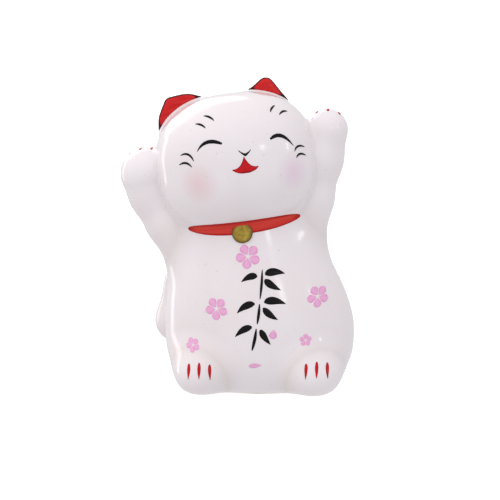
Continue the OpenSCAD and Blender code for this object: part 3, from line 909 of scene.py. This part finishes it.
def make_stopper(material):
    """Soft plug turned in one: flange, sealing lips and a dished face with a finger nib."""
    low, high = (to_figure(corner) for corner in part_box("base_stopper"))
    flange_r, flange_z, top = (high[0] - low[0]) / 2, low[2], high[2]
    plug_r = HOLE_R - 0.05
    # Its outline as (radius, z): the nib, the dished face, the flange and its rounded rim
    outline = [(0, flange_z + 0.7), (2.0, flange_z + 0.7), (2.4, flange_z + 0.55),
               (3.0, flange_z + 0.55), (8.2, flange_z + 0.55), (8.7, flange_z + 0.3),
               (9.2, flange_z + 0.05), (flange_r - 0.9, flange_z)]
    outline += [(flange_r - 0.45 + 0.45 * math.sin(a), flange_z + 0.45 - 0.45 * math.cos(a))
                for a in np.linspace(0.2, math.pi / 2, 6)]
    outline += [(flange_r, RECESS_H - 0.15), (flange_r - 0.15, RECESS_H), (plug_r + 0.2, RECESS_H)]
    # The plug with its sealing lip, and the hollow inside it
    outline += [(plug_r, RECESS_H + 0.2), (plug_r, top - 1.6), (plug_r - 0.35, top - 1.2),
                (plug_r - 0.9, top - 0.25), (plug_r - 1.4, top), (7.6, top), (7.2, top - 0.3)]
    outline += [(6.8, 3.4), (6.2, 3.0), (0, 3.0)]
    sides = 96
    turn = np.linspace(0, 2 * np.pi, sides, endpoint=False)
    points = [(0, 0, outline[0][1])]
    for r, z in outline[1:-1]:
        points += [(r * math.cos(a), r * math.sin(a), z) for a in turn]
    points.append((0, 0, outline[-1][1]))
    # Seen from its first pole, underneath, the rings run clockwise
    faces = [face[::-1] for face in turned_faces(len(outline) - 2, sides)]
    piece = new_piece("stopper_plug", np.array(points), faces, material, "stopper",
                      "stopper_rubber", "base_stopper")
    piece.data.set_sharp_from_angle(angle=math.radians(40))


# ---- Build ----

GLAZED = ["torso_shell", "arm_left", "arm_right", "foot_left", "foot_right", "tail", "ear_left",
          "ear_right"]


def build():
    white, blushed = white_glaze(), blushed_glaze()
    red = enamel("red_enamel", "#c00f17", "#8a0b12", "#cc2026")
    scarlet = enamel("collar_enamel", "#d02a22", "#b01a17", "#dc4a40")
    # The ear enamel's near-black rim colour is partly a painted outline, partly painted shade on
    # the edges that turn away
    ear_red_edge_shaded = enamel("ear_enamel", "#c2161a", "#3a0e12", "#d62f2e")
    black = enamel("black_enamel", "#070506", "#040303", "#161113", (0.15, 0.35))
    pink = enamel("pink_enamel", "#eba3d2", "#e48cc6", "#f0bbdd", (0.18, 0.35))
    for node in GLAZED:
        ceramic_section(node, node + "_glazed", white, "white_glaze", [node])
    ceramic_section("head_shell", "head_glazed", blushed, "white_glaze", ["head_shell"])
    ring_nodes = ["base_plate", "foot_left", "foot_right"]
    ceramic_section("base_plate", "base_ring", bare_clay(), "bare_clay", ring_nodes, 2)
    make_ear_lining(1, ear_red_edge_shaded)
    make_ear_lining(-1, ear_red_edge_shaded)
    make_face(red, black)
    make_decoration(red, scarlet, black, pink)
    make_bell(old_gold())
    make_stopper(soft_rubber())


# ---- Stage: floor, lights and camera ----

def figure_middle():
    low, high = cad_box
    return (low + high) / 2


FLOOR_REACH = 12.0
WORLD_COLOUR, WORLD_STRENGTH = (0.98, 0.98, 1, 1), 0.76
# The camera's angle of view, and where it stands: azimuth, elevation and distance in metres
VIEW_ANGLE, VIEW_FROM = 15.98, (3, 9, 0.56)
# The figure sits a little left of and above the middle of the view
VIEW_SHIFT = (3.8, 1.0, -5.3)


def make_floor():
    mesh = bpy.data.meshes.new("floor")
    corners = [(FLOOR_REACH * x, FLOOR_REACH * y, 0)
               for x, y in ((-1, -1), (1, -1), (1, 1), (-1, 1))]
    mesh.from_pydata(corners, [], [(0, 1, 2, 3)])
    mesh.materials.append(pale_floor())
    floor = bpy.data.objects.new("floor", mesh)
    bpy.context.scene.collection.objects.link(floor)
    # It stays white itself, but it does not light the figure from below
    floor.visible_diffuse = False
    floor.visible_glossy = False
    floor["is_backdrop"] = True


def around(azimuth, elevation, distance):
    """A place seen from the figure's middle: azimuth 0 is in front of it, 90 on its left."""
    a, e = math.radians(azimuth), math.radians(elevation)
    way = Vector((math.sin(a) * math.cos(e), -math.cos(a) * math.cos(e), math.sin(e)))
    return figure_middle() + way * distance


def aim(thing, target):
    thing.rotation_euler = (target - thing.location).to_track_quat("-Z", "Y").to_euler()


def softbox(name, azimuth, elevation, distance, size, power, colour, mirrored=True):
    """An area lamp towards the figure; mirrored says whether the glaze shows its reflection."""
    data = bpy.data.lights.new(name, "AREA")
    data.shape = "RECTANGLE"
    data.size, data.size_y = size
    data.energy = power
    data.color = colour
    lamp = bpy.data.objects.new(name, data)
    lamp.location = around(azimuth, elevation, distance)
    lamp.visible_glossy = mirrored
    aim(lamp, figure_middle())
    bpy.context.scene.collection.objects.link(lamp)


def make_lights():
    world = bpy.data.worlds.new("studio")
    bpy.context.scene.world = world
    world.use_nodes = True
    sky = world.node_tree.nodes["Background"].inputs
    sky["Color"].default_value, sky["Strength"].default_value = WORLD_COLOUR, WORLD_STRENGTH
    # Azimuth and elevation in degrees, distance and size in metres, power in watts, colour
    softbox("overhead", -30, 62, 0.9, (0.6, 0.6), 2.5, (1, 0.99, 0.98), False)
    softbox("back_left", -145, 34, 0.8, (0.7, 0.6), 1.4, (1, 1, 1))
    softbox("warm_left", -75, 8, 0.9, (0.5, 0.5), 0.5, (1, 0.8, 0.62), False)
    softbox("window", 29, 18, 0.7, (0.07, 0.09), 0.08, (0.98, 0.98, 1))
    softbox("side_window", 66, 16, 0.7, (0.05, 0.08), 0.07, (0.95, 0.96, 1))
    softbox("left_strip", -118, 2, 0.6, (0.12, 0.35), 0.2, (1, 0.98, 0.96))
    bpy.context.scene.view_settings.view_transform = "Standard"


def make_camera():
    data = bpy.data.cameras.new("camera")
    data.angle = math.radians(VIEW_ANGLE)
    data.clip_start = 0.01
    camera = bpy.data.objects.new("camera", data)
    target = figure_middle() + Vector(VIEW_SHIFT) / MM
    camera.location = target + (around(*VIEW_FROM) - figure_middle())
    aim(camera, target)
    bpy.context.scene.collection.objects.link(camera)
    bpy.context.scene.camera = camera


build()
make_floor()
make_lights()
make_camera()

visual_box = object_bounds()
boxes = {"cad": cad_box, "visual": visual_box}
{name: [list(corner) for corner in box] for name, box in boxes.items()}
